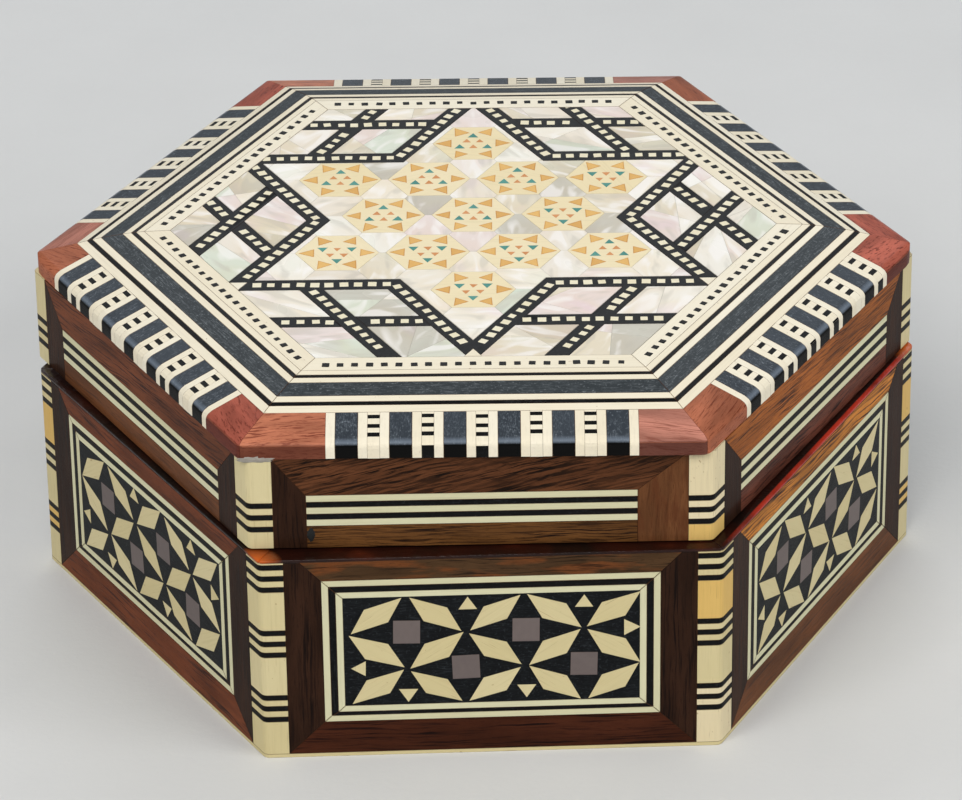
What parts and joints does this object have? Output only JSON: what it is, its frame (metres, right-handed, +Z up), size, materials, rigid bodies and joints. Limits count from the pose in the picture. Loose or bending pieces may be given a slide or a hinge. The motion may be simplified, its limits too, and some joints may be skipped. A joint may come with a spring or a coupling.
{
  "type": "inlaid wooden box",
  "caption": "Hexagonal wooden trinket box with a domed hinged lid, inlaid all over with bone, ebony, rosewood and mother-of-pearl in star and lozenge patterns.",
  "frame": {"origin": "centre of the underside of the base", "axes": "+Z up, front face towards -Y, hinges at the back (+Y), +X to the right seen from the front"},
  "size_m": [0.1499, 0.1366, 0.062],
  "materials": {
    "core_wood": "sanded plywood and softwood core",
    "bone_line": "polished bone line",
    "red_lacquer": "red-brown lacquered edge strip",
    "cream_post": "polished camel bone",
    "black_line": "ebonised stringing",
    "dark_rosewood": "lacquered dark rosewood",
    "light_rail_wood": "lacquered rosewood, lighter",
    "rosewood": "lacquered rosewood",
    "ebony_ground": "ebonised ground, lacquered",
    "mosaic_bone": "polished bone",
    "grey_shell": "grey mother-of-pearl",
    "red_velvet": "velvet",
    "hinge_brass": "stamped brass",
    "screw_brass": "turned brass",
    "pin_steel": "drawn wire",
    "padauk": "lacquered padauk",
    "moulding_bone": "polished bone",
    "moulding_ebony": "polished black horn",
    "border_bone": "polished bone",
    "border_black": "ebonised stringing",
    "strip_ebony": "ebonised strip",
    "strip_bone": "polished bone",
    "pearl_shell": "mother-of-pearl",
    "star_bone": "polished bone",
    "amber_wood": "stained wood",
    "green_inlay": "green stained bone"
  },
  "bodies": {
    "base": {"base_floor_board": "core_wood", "base_walls": "core_wood", "base_wall_back": "core_wood", "base_foot_line": "bone_line", "base_top_strips": "red_lacquer", "base_post_blocks": "cream_post", "base_post_bands": "black_line", "base_stiles": "dark_rosewood", "base_top_rails": "light_rail_wood", "base_bottom_rails": "rosewood", "base_frame_outer": "bone_line", "base_frame_black": "black_line", "base_frame_inner": "bone_line", "mosaic_ground": "ebony_ground", "mosaic_lozenges": "mosaic_bone", "mosaic_squares": "grey_shell", "mosaic_triangles": "mosaic_bone", "base_lining_floor": "red_velvet", "base_lining_walls": "red_velvet", "base_hinge_leaves": "hinge_brass", "base_hinge_screws": "screw_brass", "hinge_pins": "pin_steel"},
    "lid": {"lid_board": "core_wood", "lid_walls": "core_wood", "lid_wall_back": "core_wood", "lid_post_blocks": "cream_post", "lid_post_bands": "black_line", "lid_stiles": "dark_rosewood", "lid_top_rails": "rosewood", "lid_bottom_rails": "light_rail_wood", "lid_bone_lines": "bone_line", "lid_black_lines": "black_line", "moulding_corners": "padauk", "moulding_cream_strips": "moulding_bone", "moulding_black_blocks": "moulding_ebony", "moulding_checks": "moulding_bone", "border_bone_outer": "border_bone", "border_black_outer": "border_black", "border_bone_second": "border_bone", "border_black_wide": "border_black", "border_bone_third": "border_bone", "border_black_inner": "border_black", "border_bone_inner": "border_bone", "border_dotted": "border_bone", "border_dots": "border_black", "star_strips": "strip_ebony", "star_strip_squares": "strip_bone", "star_tip_pieces": "strip_bone", "shell_panels": "pearl_shell", "small_stars": "star_bone", "small_star_amber": "amber_wood", "small_star_green": "green_inlay", "lid_lining_top": "red_velvet", "lid_lining_walls": "red_velvet", "lid_hinge_leaves": "hinge_brass", "lid_hinge_screws": "screw_brass"}
  },
  "joints": [
    {"name": "lid_hinge", "type": "hinge", "parent": "base", "child": "lid", "pos_m": [0, 0.0701, 0.03815], "axis": [-1, 0, 0], "range_deg": [0, 100]}
  ]
}
